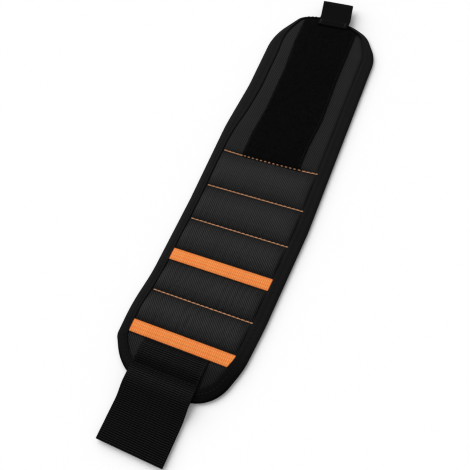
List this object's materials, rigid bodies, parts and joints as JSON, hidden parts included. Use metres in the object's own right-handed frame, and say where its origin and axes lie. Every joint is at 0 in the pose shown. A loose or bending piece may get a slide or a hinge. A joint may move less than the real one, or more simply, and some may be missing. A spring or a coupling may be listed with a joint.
{
  "type": "magnetic wristband",
  "caption": "Flat padded tool wristband of pocket rows with hidden disc magnets, bound edge, loop patch flap, woven cross tapes, hook strap and pull tab; folds at its seams.",
  "frame": {"origin": "on the surface that the band lies on, under the middle of its laid-out length and width", "axes": "+X across the band, +Y along it towards the pull tab, +Z out of the front face"},
  "size_m": [0.0968, 0.3894, 0.0076],
  "materials": {
    "cover_cloth": "ribbed woven polyester, matt",
    "lining_cloth": "fine air mesh, matt",
    "edge_binding": "ribbed binding tape, low sheen",
    "foam": "open-cell foam",
    "magnet": "nickel plated",
    "loop_pile": "soft looped pile",
    "hook_tape": "small nylon hooks",
    "orange_tape": "woven tape, low sheen",
    "seam_thread": "sewing thread",
    "webbing": "ribbed nylon webbing"
  },
  "bodies": {
    "row_3": {"row_3_cover": "cover_cloth", "row_3_lining": "lining_cloth", "row_3_binding_left": "edge_binding", "row_3_binding_right": "edge_binding", "row_3_foam": "foam", "row_3_magnet_1": "magnet", "row_3_magnet_2": "magnet", "row_3_magnet_3": "magnet", "seam_3_thread": "seam_thread", "tape_1": "orange_tape"},
    "row_2": {"row_2_cover": "cover_cloth", "row_2_lining": "lining_cloth", "row_2_binding_left": "edge_binding", "row_2_binding_right": "edge_binding", "row_2_foam": "foam", "row_2_magnet_1": "magnet", "row_2_magnet_2": "magnet", "row_2_magnet_3": "magnet", "seam_2_thread": "seam_thread"},
    "row_1": {"row_1_cover": "cover_cloth", "row_1_lining": "lining_cloth", "row_1_binding_left": "edge_binding", "row_1_binding_right": "edge_binding", "row_1_foam": "foam", "row_1_magnet_1": "magnet", "row_1_magnet_2": "magnet", "row_1_magnet_3": "magnet", "seam_1_thread": "seam_thread"},
    "flap": {"flap_cover": "cover_cloth", "flap_padding": "foam", "flap_lining": "lining_cloth", "flap_binding": "edge_binding", "loop_patch": "loop_pile", "tab_root": "webbing"},
    "tab": {"pull_tab": "webbing"},
    "row_4": {"row_4_cover": "cover_cloth", "row_4_lining": "lining_cloth", "row_4_binding_left": "edge_binding", "row_4_binding_right": "edge_binding", "row_4_foam": "foam", "row_4_magnet_1": "magnet", "row_4_magnet_2": "magnet", "row_4_magnet_3": "magnet"},
    "row_5": {"row_5_cover": "cover_cloth", "row_5_lining": "lining_cloth", "row_5_binding_left": "edge_binding", "row_5_binding_right": "edge_binding", "row_5_foam": "foam", "row_5_magnet_1": "magnet", "row_5_magnet_2": "magnet", "row_5_magnet_3": "magnet", "seam_4_thread": "seam_thread", "tape_2": "orange_tape"},
    "lower_end": {"end_cover": "cover_cloth", "end_padding": "foam", "end_lining": "lining_cloth", "end_binding": "edge_binding", "strap_root": "webbing"},
    "strap": {"strap": "webbing", "hook_patch": "hook_tape"}
  },
  "joints": [
    {"name": "seam_3_fold", "type": "hinge", "parent": "row_3", "child": "row_2", "pos_m": [0, -0.02875, 0.00195], "axis": [-1, 0, 0], "range_deg": [-30, 40]},
    {"name": "seam_2_fold", "type": "hinge", "parent": "row_2", "child": "row_1", "pos_m": [0, 0.00125, 0.00195], "axis": [-1, 0, 0], "range_deg": [-30, 40]},
    {"name": "seam_1_fold", "type": "hinge", "parent": "row_1", "child": "flap", "pos_m": [0, 0.03375, 0.00195], "axis": [-1, 0, 0], "range_deg": [-30, 40]},
    {"name": "tab_fold", "type": "hinge", "parent": "flap", "child": "tab", "pos_m": [-0.0003, 0.17875, 0.0068], "axis": [-1, 0, 0], "range_deg": [-80, 80]},
    {"name": "tape_1_fold", "type": "hinge", "parent": "row_3", "child": "row_4", "pos_m": [0, -0.06575, 0.00195], "axis": [1, 0, 0], "range_deg": [-30, 40]},
    {"name": "seam_4_fold", "type": "hinge", "parent": "row_4", "child": "row_5", "pos_m": [0, -0.08925, 0.00195], "axis": [1, 0, 0], "range_deg": [-30, 40]},
    {"name": "tape_2_fold", "type": "hinge", "parent": "row_5", "child": "lower_end", "pos_m": [0, -0.12375, 0.00195], "axis": [1, 0, 0], "range_deg": [-30, 40]},
    {"name": "strap_fold", "type": "hinge", "parent": "lower_end", "child": "strap", "pos_m": [-0.0034, -0.15375, 0.0052], "axis": [1, 0, 0], "range_deg": [-100, 70]}
  ]
}
